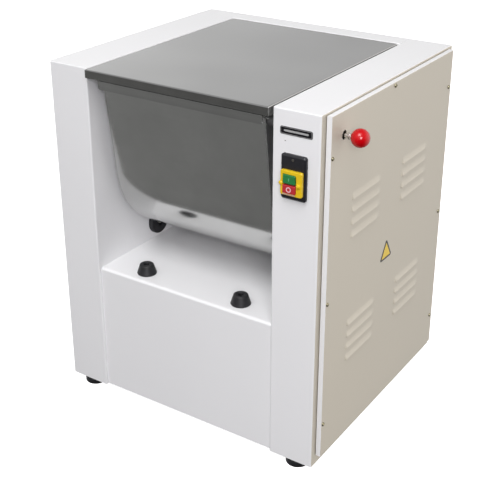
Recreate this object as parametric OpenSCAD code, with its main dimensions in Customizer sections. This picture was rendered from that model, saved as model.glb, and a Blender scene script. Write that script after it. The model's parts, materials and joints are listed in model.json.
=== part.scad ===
// Horizontal dough mixer with a tilting trough. Two sheet-metal towers stand on one base.
// The trough hangs between them on trunnions, tips forward to empty, and carries a hinged
// lid. A geared motor in the base turns the agitator through a chain in the right tower.
// X runs to the right, Y to the back and Z up from the floor, in millimetres. Sizes are
// given from the cabinet's middle, and in_cabinet() then centres the whole machine.

/* [Cabinet] */
// Width over both towers, without the side covers
cab_w = 726; // [706:1:746]
// Height of the sheet-metal shell above its feet
shell_h = 850; // [840:1:870]
// Reach of the towers in front of the middle
front_reach = 323; // [320:1:330]
// Reach of the towers behind the middle
rear_reach = 328; // [326:1:334]
// Width of one tower
tower_w = 113; // [108:1:118]
// Thickness of the cabinet sheet
sheet = 2; // [1.5:0.5:2]
// Radius of the towers' upright front edges
corner_r = 8; // [4:1:10]
// Height of the base top above the feet
base_h = 338; // [320:1:345]
// How far the base front stands back from the tower fronts
base_setback = 8; // [4:1:10]
// Depth of the strip that joins the towers at the top rear
bridge_d = 60; // [56:1:62]

/* [Feet and bumpers] */
// Height of the rubber feet
foot_h = 20; // [15:1:25]
// Diameter of the rubber feet
foot_dia = 56; // [40:1:60]
// Diameter of a front bumper where it stands on the base
bumper_dia = 48; // [40:1:50]
// Height of a front bumper
bumper_h = 25; // [18:1:25]
// Distance of a front bumper from the middle
bumper_x = 138; // [100:1:170]
// Radius of the round rubber stops on the tower walls
stop_r = 34; // [30:1:34]

/* [Side covers] */
// Depth of the cover trays
cover_t = 14; // [10:1:14]
// Length of one louvre
louvre_w = 142; // [100:1:150]
// How far a louvre stands proud of its cover
louvre_out = 6; // [4:1:7]
// Distance from one louvre to the next above it
louvre_pitch = 30; // [26:1:32]
// Louvres in one bank
louvre_rows = 4; // [2:1:4]

/* [Trough] */
// Half of the trough's width over its end plates
trough_half_w = 220; // [214:1:220]
// Outside radius of the round bottom
trough_r = 220; // [214:1:222]
// Lean of the front and rear walls
wall_lean = 7.44; // [5:0.01:8]
// Thickness of the trough sheet
trough_t = 2; // [1.5:0.5:2]
// Height of the tilting axis above the feet
axis_h = 614; // [610:1:618]
// Width of the rim at the front and rear
rim_w = 20; // [16:1:20]

/* [Lid] */
// Width of the lid
lid_w = 490; // [480:1:490]
// Height of the lid's folded edge
lid_edge = 20; // [16:1:20]
// Reach of the lid in front of the middle
lid_front = 333; // [328:1:333]
// Reach of the lid behind the middle
lid_rear = 262; // [258:1:262]

/* [Agitator] */
// Diameter of the main shaft
shaft_dia = 40; // [36:1:40]
// Distance of the mixing bars from the shaft's axis
bar_reach = 180; // [170:1:182]
// Diameter of the mixing bars
bar_dia = 22; // [16:1:24]
// Number of arms on each spider
arm_count = 3; // [2:1:4]

/* [Drive] */
// Pitch of the roller chain
chain_pitch = 19.05; // [15.875:3.175:19.05]
// Teeth on the agitator's sprocket
driven_teeth = 45; // [39:3:48]
// Teeth on the motor's sprocket
drive_teeth = 15; // [13:1:16]
// Diameter of the geared motor's output shaft
output_dia = 35; // [30:1:36]

/* [Controls] */
// Width of the switch
switch_w = 60; // [58:1:62]
// Height of the switch
switch_h = 99; // [92:1:100]
// Travel of the two buttons
button_travel = 4; // [3:1:4]
// Diameter of the ball on the tilt lock
ball_dia = 40; // [35:1:40]
// Travel of the tilt lock
lock_travel = 15; // [12:1:15]

/* [Hidden] */
$fn = 64;

// Every cut runs this far past the face that it opens
past = 1;
// Gap between a part and the hole that it is fixed in
fixed_gap = 0.05;
// Radial gap of a part that turns or slides in another
running_gap = 0.05;

half_w = cab_w / 2;
tower_in = half_w - tower_w;
top_z = foot_h + shell_h;
base_top = foot_h + base_h;
base_front = base_setback - front_reach;
cover_x = half_w + cover_t;
rail = 30;
rail_wall = 2;
rail_top = foot_h + rail;
rail_front = base_front + 2 * sheet;
rail_rear = rear_reach - 8;
rail_x = half_w - 5;
motor_rail_y = [30, 200];

// Sheet-metal screws: clearance hole, tapped hole, shank and head
screw_clear_r = 2.75;
screw_tap_r = 2.5;
screw_r = 2.4;
screw_head_r = 4.75;
screw_head_h = 3;
screw_bite = 6;

// Hexagon bolts: shank radius, and the clearance holes for the two sizes
bolt_r = 4;
bolt_clear_r = 4.2;
foot_bolt_r = 5;
foot_bolt_clear_r = 5.2;

cover_y = [-305, 303];
cover_z = [foot_h + 25, foot_h + 845];
cover_opening_y = [-285, 270];
cover_opening_z = [60, 840];
cover_screw_y = [-299, 288];
cover_screw_z = [132, 441, 775];
cover_screws = concat(
    [for (y = cover_screw_y) for (z = cover_screw_z) [y, z]],
    [[-20, foot_h + 837]]
);
louvre_h = 18;
louvre_t = 1.2;
louvre_y = [-135, 113];
louvre_banks = [foot_h + 231, foot_h + 541.5];
rear_panel_x = tower_in + 20;
rear_screw_x = tower_in + 10;
rear_screw_z = [60, 330, 600, 840];
rear_panel_z = [40, 860];
gland_x = -150;
gland_z = 120;
gland_r = 12;
bridge_lip = 40;
base_fold_r = 7;

foot_x = 311;
foot_y = [-294, 299];
foot_recess = [10, 9];
bumper_y = -274;
bumper_recess = [7, 7];
bumper_screw_r = 3;
bumper_hole_r = 3.2;

// Tilting axis, which is also the agitator's axis
axis_y = -55;
axis_z = foot_h + axis_h;
rim_top = foot_h + 823;
wall_top = rim_top - trough_t;
end_t = 3;
end_in = trough_half_w - end_t;
stop_t = 12;
stop_y = -90;
stop_z = foot_h + 383;
stop_pin_r = 8;
stop_pin_reach = 205;
stop_pin_y = axis_y - 1.8;
stop_pin_z = axis_z - stop_pin_reach;
stop_recess = [12, 5];
stop_screw_r = 4;
stop_hole_r = 4.2;
hub_flange_r = 75;
hub_flange_x = trough_half_w + 12;
hub_bolt_ring = 60;
hub_tube_r = 40;
hub_bore_r = 28;
hub_end_x = tower_in + 32;
bearing_x = [tower_in + sheet, tower_in + sheet + 12, tower_in + sheet + 24];
bearing_barrel_r = 55;
bearing_bolt_ring = 65;
trunnion_hole_r = hub_tube_r + 4;
shaft_r = shaft_dia / 2;
bush_out_r = hub_bore_r - fixed_gap;

// Lid hinge
hinge_y = 240;
hinge_z = top_z - 12;
hinge_pin_r = 4;
bracket_x = [trough_half_w + 1, trough_half_w + 9];
lid_t = 2;
gasket_w = 6;
gasket_half = 210;

// Tilt lock
lock_y = -251;
lock_z = foot_h + 792;
lock_r = 6;
lock_tip_x = tower_in - 2.5;
lock_collar_r = 8;
lock_guide_r = [12, 18];
lock_guide_end = tower_in + 42;
ball_x = cover_x + 36;
ball_bore_x = [ball_x - 16.9, ball_x - 2.9];
lock_hole_r = 10;
keeper_r = 14;
keeper_h = 21;
keeper_spare = 10.5;

// Agitator
arm_x = [190, 206];
arm_w = 30;
arm_hub_r = 34;
arm_tip_r = 17;

// Drive
motor_y = 130;
motor_z = 140;
motor_r = 68;
output_r = output_dia / 2;
output_hole_r = 30;
output_x0 = 155;
motor_x = [-185, 30];
gearbox_x = [30, 190];
boss_x = 210;
boss_r = 48;
foot_plate = [rail_top, rail_top + 12];
motor_foot_x = [-150, -10];
motor_bolt_x = [-130, -30, 60, 160];
motor_bolt_l = 12;
pad_x = [-110, -30];
pad_half = 35;
pad_top = motor_z + motor_r + 6;
chain_x = [half_w - 38, half_w - 28];
driven_r = chain_pitch / 2 / sin(180 / driven_teeth);
drive_r = chain_pitch / 2 / sin(180 / drive_teeth);
tooth_out = 5.5;
tooth_in = 6;
link_half_h = 8;
plate_t = 3;
plate_gap = 1;
channel_h = tooth_out + 0.7;
chain_span = norm([motor_y - axis_y, motor_z - axis_z]);
chain_turn = atan2(motor_z - axis_z, motor_y - axis_y);
chain_wrap = acos((driven_r - drive_r) / chain_span);

// Switch on the right tower's front
switch_x = 304.5;
switch_z = foot_h + 707.5;
switch_out = 9;
switch_body_half = [25, 38];
switch_body_depth = 38;
switch_cut_gap = 0.5;
switch_screw_z = switch_z + switch_h / 2 - 10;
button_x = switch_x - 3.5;
switch_y = -front_reach - switch_out;
frame_w = 51;
frame_z = [foot_h + 670.5, foot_h + 725];
frame_out = 7;
frame_y = switch_y - frame_out;
start_size = [29, 20];
start_z = foot_h + 707;
stop_size = [31, 18];
stop_button_z = foot_h + 685;
button_out = 3.5;
button_gap = 0.5;

// Wiring: the contactor box behind the base cover, and the routes of the three wire runs
box_x = [60, 160];
box_y = [base_front + sheet, base_front + sheet + 70];
box_z = [100, 220];
loom_r = 5;
loom_y = -270;
loom_z = 300;
loom_hole_r = 10;
motor_run = [40, -278, 150, 236];
supply_run = [-236, -290, 270];
loom_runs = [
    [
        [switch_x, switch_body_depth - front_reach, switch_z],
        [switch_x, loom_y, switch_z],
        [switch_x, loom_y, loom_z],
        [box_x[0] + 50, loom_y, loom_z],
        [box_x[0] + 50, loom_y, box_z[1]]
    ],
    [
        [box_x[0], motor_run[1], motor_run[2]],
        [motor_run[0], motor_run[1], motor_run[2]],
        [motor_run[0], motor_run[1], motor_run[3]],
        [motor_run[0], motor_y, motor_run[3]],
        [pad_x[1], motor_y, motor_run[3]]
    ],
    [
        [gland_x, rear_reach - 8, gland_z],
        [gland_x, supply_run[2], gland_z],
        [supply_run[0], supply_run[2], gland_z],
        [supply_run[0], supply_run[1], gland_z],
        [box_x[0], supply_run[1], gland_z]
    ]
];

// The machine's own box is centred on the origin
front_most = frame_y - button_out;
rear_most = rear_reach + sheet + screw_head_h;
cab_x = -(ball_x + ball_dia / 2 - cover_x) / 2;
cab_y = -(front_most + rear_most) / 2;

// ---- helpers ----

module in_cabinet() {
    translate([cab_x, cab_y, 0]) children();
}

// A block between its lowest and its highest corner
module block(low, high) {
    translate(low) cube(high - low);
}

// Round bars along X, Y and Z
module x_bar(x0, x1, y, z, r) {
    translate([x0, y, z]) rotate([0, 90, 0]) cylinder(h = x1 - x0, r = r);
}

module y_bar(x, y0, y1, z, r) {
    translate([x, y1, z]) rotate([90, 0, 0]) cylinder(h = y1 - y0, r = r);
}

module z_bar(x, y, z0, z1, r) {
    translate([x, y, z0]) cylinder(h = z1 - z0, r = r);
}

// An outline drawn in Y and Z, extruded along X
module x_prism(x0, x1) {
    translate([x0, 0, 0]) rotate([90, 0, 90]) linear_extrude(x1 - x0) children();
}

// An outline drawn in X and Z, extruded along Y
module y_prism(y0, y1) {
    translate([0, y1, 0]) rotate([90, 0, 0]) linear_extrude(y1 - y0) children();
}

// The same piece on the right and, mirrored, on the left
module both_sides() {
    children();
    mirror([1, 0, 0]) children();
}

// A rectangle with four round corners
module round_rect(low, high, r) {
    translate([low[0] + r, low[1]]) square([high[0] - low[0] - 2 * r, high[1] - low[1]]);
    translate([low[0], low[1] + r]) square([high[0] - low[0], high[1] - low[1] - 2 * r]);
    for (x = [low[0] + r, high[0] - r])
        for (y = [low[1] + r, high[1] - r])
            translate([x, y]) circle(r);
}

// A hexagon bolt along +Z: the head stands on z = 0 and the shank hangs below it
module hex_bolt(head_r, head_h, shank_r, shank_l) {
    cylinder(h = head_h, r = head_r, $fn = 6);
    translate([0, 0, -shank_l]) cylinder(h = shank_l, r = shank_r);
}

// ---- cabinet ----

// Plan of the right tower, inset from its outside, with round front corners
module tower_plan(inset) {
    x0 = tower_in + inset;
    x1 = half_w - inset;
    y0 = inset - front_reach;
    y1 = rear_reach - inset;
    r = corner_r - inset;
    translate([x0, y0 + r]) square([x1 - x0, y1 - y0 - r]);
    translate([x0 + r, y0]) square([x1 - x0 - 2 * r, 2 * r]);
    for (x = [x0 + r, x1 - r])
        translate([x, y0 + r]) circle(r);
}

// A folded tower with an open bottom and a large opening behind its side cover
module tower_shell() {
    difference() {
        translate([0, 0, foot_h]) linear_extrude(shell_h) tower_plan(0);
        translate([0, 0, foot_h - past]) linear_extrude(shell_h - sheet + past) tower_plan(sheet);
        block(
            [half_w - sheet - past, cover_opening_y[0], cover_opening_z[0]],
            [half_w + past, cover_opening_y[1], cover_opening_z[1]]
        );
        block(
            [tower_in - past, base_front + sheet, foot_h - past],
            [tower_in + sheet + past, rear_reach - sheet, rail_top + 2]
        );
        x_bar(tower_in - past, tower_in + sheet + past, axis_y, axis_z, trunnion_hole_r);
        for (s = cover_screws)
            x_bar(half_w - sheet - past, half_w + past, s[0], s[1], screw_tap_r);
        for (z = rear_screw_z)
            y_bar(rear_screw_x, rear_reach - sheet - past, rear_reach + past, z, screw_tap_r);
    }
}

module left_tower() {
    color("#F1F0F2") in_cabinet() mirror([1, 0, 0]) tower_shell();
}

module right_tower() {
    x0 = tower_in - past;
    x1 = tower_in + sheet + past;
    color("#F1F0F2") in_cabinet() difference() {
        tower_shell();
        x_bar(x0, x1, lock_y, lock_z, lock_guide_r[0] + fixed_gap);
        x_bar(x0, x1, motor_y, motor_z, output_hole_r);
        x_bar(x0, x1, loom_y, loom_z, loom_hole_r);
        switch_body(-front_reach - past, sheet + past - front_reach, switch_cut_gap);
    }
}

// One folded sheet makes the base's front and top
module base_cover() {
    r = base_fold_r;
    color("#EDECEE") in_cabinet() difference() {
        x_prism(-tower_in, tower_in) {
            translate([base_front, foot_h]) square([sheet, base_h - r]);
            translate([base_front + r, base_top - sheet])
                square([rear_reach - sheet - base_front - r, sheet]);
            translate([base_front + r, base_top - r]) difference() {
                circle(r);
                circle(r - sheet);
                translate([0, -2 * r]) square([2 * r, 4 * r]);
                translate([-2 * r, -2 * r]) square([4 * r, 2 * r]);
            }
        }
        for (side = [-1, 1])
            z_bar(side * bumper_x, bumper_y, base_top - sheet - past, base_top + past,
                bumper_hole_r);
    }
}

module tube_x(x0, x1, y, z) {
    difference() {
        block([x0, y, z], [x1, y + rail, z + rail]);
        block(
            [x0 - past, y + rail_wall, z + rail_wall],
            [x1 + past, y + rail - rail_wall, z + rail - rail_wall]
        );
    }
}

module cross_rails() {
    color("#3A3B3E") in_cabinet() difference() {
        union() {
            tube_x(-rail_x, rail_x, rail_front, foot_h);
            tube_x(-rail_x, rail_x, rail_rear - rail, foot_h);
        }
        foot_places() z_bar(0, 0, foot_h - past, foot_h + rail_wall + past, foot_bolt_clear_r);
    }
}

module side_rails() {
    y0 = rail_front + rail;
    y1 = rail_rear - rail;
    color("#3A3B3E") in_cabinet() both_sides() difference() {
        block([rail_x - rail, y0, foot_h], [rail_x, y1, rail_top]);
        block(
            [rail_x - rail + rail_wall, y0 - past, foot_h + rail_wall],
            [rail_x - rail_wall, y1 + past, rail_top - rail_wall]
        );
    }
}

module motor_rails() {
    color("#3A3B3E") in_cabinet()
        for (y = motor_rail_y)
            tube_x(rail - rail_x, rail_x - rail, y, foot_h);
}

// The strip that joins the towers behind the lid
module rear_bridge() {
    lip = bridge_lip;
    y0 = rear_reach - bridge_d;
    color("#EDECEE") in_cabinet() x_prism(-tower_in, tower_in) difference() {
        translate([y0, top_z - lip]) square([bridge_d, lip]);
        translate([y0 + sheet, top_z - lip - past])
            square([bridge_d - 2 * sheet, lip - sheet + past]);
    }
}

module rear_panel() {
    color("#EDECEE") in_cabinet() difference() {
        block([-rear_panel_x, rear_reach, rear_panel_z[0]],
            [rear_panel_x, rear_reach + sheet, rear_panel_z[1]]);
        rear_screw_places() y_bar(0, -past, sheet + past, 0, screw_clear_r);
        y_bar(gland_x, rear_reach - past, rear_reach + sheet + past, gland_z, gland_r);
    }
}

module rear_screw_places() {
    for (side = [-1, 1])
        for (z = rear_screw_z)
            translate([side * rear_screw_x, rear_reach, z]) children();
}

module rear_panel_screws() {
    color("#C9CACC") in_cabinet() rear_screw_places() union() {
        y_bar(0, -screw_bite, sheet, 0, screw_r);
        y_bar(0, sheet, sheet + screw_head_h, 0, screw_head_r);
    }
}

// A shallow tray over a tower's side opening, drawn for the right side
module cover_tray() {
    difference() {
        block([half_w, cover_y[0], cover_z[0]], [cover_x, cover_y[1], cover_z[1]]);
        block(
            [half_w - past, cover_y[0] + sheet, cover_z[0] + sheet],
            [cover_x - sheet, cover_y[1] - sheet, cover_z[1] - sheet]
        );
        for (s = cover_screws)
            x_bar(half_w, cover_x + past, s[0], s[1], screw_clear_r);
    }
}

module left_side_cover() {
    color("#EDECEE") in_cabinet() mirror([1, 0, 0]) cover_tray();
}

module louvre_places() {
    for (bank = louvre_banks)
        for (row = [0 : louvre_rows - 1])
            for (y = louvre_y)
                translate([cover_x, y, bank + row * louvre_pitch]) children();
}

// A pressed hood that is open along its lower edge
module louvre_hood() {
    half = louvre_w / 2;
    difference() {
        y_prism(-half, half)
            polygon([[0, 0], [louvre_out, 0], [louvre_out, 4], [0, louvre_h]]);
        y_prism(louvre_t - half, half - louvre_t)
            polygon([
                [-past, -past],
                [louvre_out - louvre_t, -past],
                [louvre_out - louvre_t, 3.5],
                [0, louvre_h - 3],
                [-past, louvre_h - 3]
            ]);
    }
}

module right_side_cover() {
    slot_half = louvre_w / 2 - 4;
    color("#E4E1DA") in_cabinet() union() {
        difference() {
            cover_tray();
            x_bar(cover_x - sheet - past, cover_x + past, lock_y, lock_z, lock_hole_r);
            louvre_places()
                block([-sheet - past, -slot_half, 1.5], [past / 2, slot_half, 11]);
        }
        louvre_places() louvre_hood();
    }
}

module side_cover_screws() {
    color("#B9BABD") in_cabinet() both_sides()
        for (s = cover_screws) {
            x_bar(half_w - screw_bite, cover_x, s[0], s[1], screw_r);
            x_bar(cover_x, cover_x + screw_head_h, s[0], s[1], screw_head_r);
        }
}

module foot_places() {
    for (x = [-foot_x, foot_x])
        for (y = foot_y)
            translate([x, y, 0]) children();
}

module feet() {
    color("#1B1B1E") in_cabinet() foot_places() difference() {
        cylinder(h = foot_h, r = foot_dia / 2);
        translate([0, 0, -past]) cylinder(h = foot_recess[1] + past, r = foot_recess[0]);
        cylinder(h = foot_h + past, r = foot_bolt_clear_r);
    }
}

module foot_bolts() {
    color("#A9ABAE") in_cabinet() foot_places()
        translate([0, 0, foot_recess[1]]) mirror([0, 0, 1]) hex_bolt(8, 6, foot_bolt_r, 22);
}

module bumper_places() {
    for (side = [-1, 1])
        translate([side * bumper_x, bumper_y, base_top]) children();
}

module bumpers() {
    color("#17171A") in_cabinet() bumper_places() difference() {
        cylinder(h = bumper_h, r1 = bumper_dia / 2, r2 = bumper_dia / 2 - 7.5);
        translate([0, 0, bumper_recess[1]]) cylinder(h = bumper_h, r = bumper_recess[0]);
        translate([0, 0, -past]) cylinder(h = bumper_recess[1] + 2 * past, r = bumper_hole_r);
    }
}

module bumper_screws() {
    color("#A9ABAE") in_cabinet() bumper_places() union() {
        translate([0, 0, bumper_recess[1]]) cylinder(h = 4, r = 5);
        translate([0, 0, -12]) cylinder(h = 12 + bumper_recess[1], r = bumper_screw_r);
    }
}

// Round rubber stops on the inner walls; the trough's stop pins rest against them
module tilt_stops() {
    x0 = tower_in - stop_t;
    color("#17171A") in_cabinet() both_sides() difference() {
        x_bar(x0, tower_in, stop_y, stop_z, stop_r);
        x_bar(x0 - past, x0 + stop_recess[1], stop_y, stop_z, stop_recess[0]);
        x_bar(x0, tower_in + past, stop_y, stop_z, stop_hole_r);
    }
}

module tilt_stop_screws() {
    x0 = tower_in - stop_t;
    color("#A9ABAE") in_cabinet() both_sides() union() {
        x_bar(x0 + 1, x0 + stop_recess[1], stop_y, stop_z, 7);
        x_bar(x0 + stop_recess[1], tower_in, stop_y, stop_z, stop_screw_r);
    }
}

module nameplate() {
    color("#111114") in_cabinet() y_prism(-front_reach - 1, -front_reach)
        round_rect([268, foot_h + 796], [344, foot_h + 813], 4);
}

module warning_triangle() {
    color("#F2C500") in_cabinet() x_prism(cover_x, cover_x + 0.5)
        polygon([[-48, foot_h + 412], [14, foot_h + 412], [-17, foot_h + 464]]);
}

// ---- switch ----

// The switch's body behind the tower's front, widened by gap for the opening that it sits in
module switch_body(y0, y1, gap) {
    half = switch_body_half;
    block([switch_x - half[0] - gap, y0, switch_z - half[1] - gap],
        [switch_x + half[0] + gap, y1, switch_z + half[1] + gap]);
}

module switch_box() {
    half = switch_w / 2;
    low = switch_z - switch_h / 2;
    high = switch_z + switch_h / 2;
    color("#1A1A1D") in_cabinet() difference() {
        union() {
            y_prism(switch_y, -front_reach)
                round_rect([switch_x - half, low], [switch_x + half, high], 6);
            switch_body(-front_reach, switch_body_depth - front_reach, 0);
        }
        button_wells();
        y_bar(switch_x, switch_y - past, switch_y + 6, switch_screw_z, 2);
    }
}

// Wells behind the buttons, deep enough for their travel
module button_wells() {
    depth = button_travel + 12;
    for (b = [[start_size, start_z], [stop_size, stop_button_z]])
        let (half = b[0] / 2 + [button_gap, button_gap])
            block([button_x - half[0], frame_y - past, b[1] - half[1]],
                [button_x + half[0], switch_y + depth, b[1] + half[1]]);
}

module switch_frame() {
    half = frame_w / 2;
    ear = 7;
    mid = (frame_z[0] + frame_z[1]) / 2;
    color("#E8C800") in_cabinet() difference() {
        union() {
            y_prism(frame_y, switch_y)
                round_rect([switch_x - half, frame_z[0]], [switch_x + half, frame_z[1]], 3);
            block([switch_x - half - 3, frame_y + 2, mid - ear],
                [switch_x + half + 3, switch_y, mid + ear]);
        }
        button_wells();
    }
}

module switch_screw() {
    z = switch_screw_z;
    color("#B9BABD") in_cabinet() union() {
        y_bar(switch_x, switch_y - 1, switch_y, z, 3);
        y_bar(switch_x, switch_y, switch_y + 5, z, 1.9);
    }
}

module push_button(size, z) {
    half = size[0] / 2;
    y_prism(front_most, switch_y + 8)
        round_rect([button_x - half, z - size[1] / 2], [button_x + half, z + size[1] / 2], 2);
}

module start_button() {
    color("#2F8F3F") in_cabinet() push_button(start_size, start_z);
}

module stop_button() {
    color("#C4222B") in_cabinet() push_button(stop_size, stop_button_z);
}

// ---- tilt lock ----

module lock_guide() {
    color("#8E9093") in_cabinet() difference() {
        union() {
            x_bar(lock_tip_x, tower_in + sheet, lock_y, lock_z, lock_guide_r[0]);
            x_bar(tower_in + sheet, lock_guide_end, lock_y, lock_z, lock_guide_r[1]);
        }
        x_bar(lock_tip_x - past, lock_guide_end + past, lock_y, lock_z, lock_r + running_gap);
    }
}

module lock_pin() {
    color("#C9CACC") in_cabinet() union() {
        x_bar(lock_tip_x, ball_x - 4, lock_y, lock_z, lock_r);
        x_bar(cover_x + 6, ball_x - 18, lock_y, lock_z, lock_collar_r);
    }
}

// Turned ball with a stepped hole for the pin; its half outline is drawn about the pin's axis
module knob_ball() {
    r = ball_dia / 2;
    color("#CC0A1A") in_cabinet() translate([ball_x, lock_y, lock_z]) rotate([0, 90, 0])
        rotate_extrude() difference() {
            intersection() {
                circle(r);
                translate([0, -r]) square([r, 2 * r]);
            }
            translate([-past, -r - past])
                square([lock_collar_r + fixed_gap + past, r + past + ball_bore_x[0] - ball_x]);
            translate([-past, -r - past])
                square([lock_r + fixed_gap + past, r + past + ball_bore_x[1] - ball_x]);
        }
}

// ---- trunnion bearings ----

module bearing() {
    difference() {
        union() {
            x_bar(bearing_x[0], bearing_x[1], axis_y, axis_z, hub_flange_r);
            x_bar(bearing_x[0], bearing_x[2], axis_y, axis_z, bearing_barrel_r);
        }
        x_bar(bearing_x[0] - past, bearing_x[2] + past, axis_y, axis_z, hub_tube_r + running_gap);
        ring_of(6, bearing_bolt_ring) x_bar(bearing_x[0] - past, bearing_x[1] + past, 0, 0, bolt_clear_r);
    }
}

// Places spread round the tilting axis
module ring_of(count, radius) {
    for (i = [0 : count - 1]) {
        a = 360 * (i + 0.5) / count;
        translate([0, axis_y + radius * cos(a), axis_z + radius * sin(a)]) children();
    }
}

module left_bearing() {
    color("#6E7176") in_cabinet() mirror([1, 0, 0]) bearing();
}

module right_bearing() {
    color("#6E7176") in_cabinet() bearing();
}

module bearing_bolts() {
    color("#A9ABAE") in_cabinet() both_sides() ring_of(6, bearing_bolt_ring)
        translate([bearing_x[1], 0, 0]) rotate([0, 90, 0]) hex_bolt(6.5, 5, bolt_r, 12);
}

// ---- geared motor ----

module foot_plate_block(x0, x1) {
    block([x0, motor_rail_y[0], foot_plate[0]], [x1, motor_rail_y[1] + rail, foot_plate[1]]);
}

module motor_bolt_places() {
    for (x = motor_bolt_x)
        for (y = motor_rail_y)
            translate([x, y + rail / 2, foot_plate[1]]) children();
}

module motor_bolt_holes() {
    motor_bolt_places() translate([0, 0, -motor_bolt_l - past])
        cylinder(h = motor_bolt_l + 2 * past, r = foot_bolt_clear_r);
}

module motor_housing() {
    rib_count = 24;
    color("#3F5B7A") in_cabinet() difference() {
        union() {
            x_bar(motor_x[0], motor_x[1], motor_y, motor_z, motor_r);
            for (i = [0 : rib_count - 1])
                translate([motor_x[0] + 5, motor_y, motor_z]) rotate([360 * i / rib_count, 0, 0])
                    translate([0, -1.25, motor_r - 4]) cube([motor_x[1] - motor_x[0] - 25, 2.5, 9]);
            block([pad_x[0], motor_y - pad_half, motor_z], [pad_x[1], motor_y + pad_half, pad_top]);
            block([motor_foot_x[0] + 10, motor_y - 50, foot_plate[0]],
                [motor_foot_x[1] - 10, motor_y + 50, motor_z]);
            foot_plate_block(motor_foot_x[0], motor_foot_x[1]);
        }
        motor_bolt_holes();
    }
}

module motor_fan_cowl() {
    x0 = motor_x[0] - 40;
    r = motor_r + 4;
    color("#33363B") in_cabinet() difference() {
        x_bar(x0, motor_x[0], motor_y, motor_z, r);
        x_bar(x0 + 2, motor_x[0] + past, motor_y, motor_z, r - 2);
        for (i = [0 : 11])
            translate([x0 - past, motor_y, motor_z]) rotate([30 * i, 0, 0])
                translate([0, -3, 18]) cube([4, 6, 38]);
    }
}

module motor_terminal_box() {
    h = 42;
    wall = 4;
    color("#33363B") in_cabinet() difference() {
        block([pad_x[0], motor_y - pad_half, pad_top],
            [pad_x[1], motor_y + pad_half, pad_top + h]);
        block([pad_x[0] + wall, motor_y - pad_half + wall, pad_top - past],
            [pad_x[1] - wall, motor_y + pad_half - wall, pad_top + h - wall]);
    }
}

module gearbox_housing() {
    color("#3F5B7A") in_cabinet() difference() {
        union() {
            x_prism(gearbox_x[0], gearbox_x[1])
                round_rect([motor_y - 72, foot_plate[0] + 4], [motor_y + 72, motor_z + 75], 22);
            x_bar(gearbox_x[1], boss_x, motor_y, motor_z, boss_r);
            foot_plate_block(gearbox_x[0] + 10, gearbox_x[1] - 10);
        }
        x_bar(output_x0 - 5, boss_x + past, motor_y, motor_z, output_r + running_gap);
        motor_bolt_holes();
    }
}

module motor_bolts() {
    color("#A9ABAE") in_cabinet() motor_bolt_places()
        hex_bolt(8, 6, foot_bolt_r, motor_bolt_l);
}

// ---- chain drive ----

// A sprocket's outline about the origin
module sprocket_outline(teeth, pitch_r) {
    step = 360 / teeth;
    low = pitch_r - tooth_in;
    high = pitch_r + tooth_out;
    polygon([
        for (i = [0 : teeth - 1])
            for (p = [[-0.28, low], [-0.1, high], [0.1, high], [0.28, low]])
                p[1] * [cos((i + p[0]) * step), sin((i + p[0]) * step)]
    ]);
}

module sprocket(teeth, pitch_r, y, z, bore_r, hub_r, hub_x) {
    difference() {
        union() {
            x_prism(chain_x[0], chain_x[1]) translate([y, z]) sprocket_outline(teeth, pitch_r);
            x_bar(hub_x, chain_x[0], y, z, hub_r);
        }
        x_bar(hub_x - past, chain_x[1] + past, y, z, bore_r);
    }
}

module drive_shaft() {
    color("#B9BABD") in_cabinet() x_bar(output_x0, chain_x[1] + 10, motor_y, motor_z, output_r);
}

module drive_sprocket() {
    color("#6E7176") in_cabinet()
        sprocket(drive_teeth, drive_r, motor_y, motor_z, output_r + fixed_gap, 28, chain_x[0] - 25);
}

// The line that the chain follows, moved outwards: an arc round each sprocket, and the
// two straight runs between them
module chain_line(out) {
    arc_steps = 40;
    rounds = [
        [axis_y, axis_z, driven_r + out, chain_turn + chain_wrap, 360 - 2 * chain_wrap],
        [motor_y, motor_z, drive_r + out, chain_turn - chain_wrap, 2 * chain_wrap]
    ];
    polygon([
        for (c = rounds)
            for (i = [0 : arc_steps])
                let (a = c[3] + c[4] * i / arc_steps)
                    [c[0] + c[2] * cos(a), c[1] + c[2] * sin(a)]
    ]);
}

// A closed loop of side plates with a channel that the teeth run in
module drive_chain() {
    outer = plate_gap + plate_t;
    color("#55585C") in_cabinet() difference() {
        x_prism(chain_x[0] - outer, chain_x[1] + outer) chain_line(link_half_h);
        x_prism(chain_x[0] - plate_gap, chain_x[1] + plate_gap) chain_line(channel_h);
        x_prism(chain_x[0] - outer - past, chain_x[1] + outer + past) chain_line(-link_half_h);
    }
}

module driven_sprocket() {
    color("#6E7176") in_cabinet()
        sprocket(driven_teeth, driven_r, axis_y, axis_z, shaft_r + fixed_gap, 38, chain_x[0] - 29);
}

// ---- wiring ----

module contactor_box() {
    color("#D8D8D4") in_cabinet()
        block([box_x[0], box_y[0], box_z[0]], [box_x[1], box_y[1], box_z[1]]);
}

// A round bar between two points that differ along one axis only
module run_bar(a, b) {
    low = [for (i = [0 : 2]) min(a[i], b[i])];
    high = [for (i = [0 : 2]) max(a[i], b[i])];
    if (high[0] > low[0])
        x_bar(low[0], high[0], low[1], low[2], loom_r);
    else if (high[1] > low[1])
        y_bar(low[0], low[1], high[1], low[2], loom_r);
    else
        z_bar(low[0], low[1], low[2], high[2], loom_r);
}

module wiring_loom() {
    color("#26262A") in_cabinet()
        for (run = loom_runs)
            union() {
                for (i = [0 : len(run) - 2])
                    run_bar(run[i], run[i + 1]);
                for (i = [1 : len(run) - 2])
                    translate(run[i]) sphere(loom_r);
            }
}

// A low rubber bush where a supply cable enters the rear panel
module cable_bush() {
    color("#1B1B1E") in_cabinet() difference() {
        union() {
            y_bar(gland_x, rear_reach - 8, rear_reach + sheet, gland_z, gland_r - 0.3);
            y_bar(gland_x, rear_reach + sheet, rear_reach + sheet + 3, gland_z, gland_r + 5);
        }
        y_bar(gland_x, rear_reach - 4, rear_reach + sheet + 4, gland_z, 5.5);
    }
}

// ---- trough ----

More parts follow.
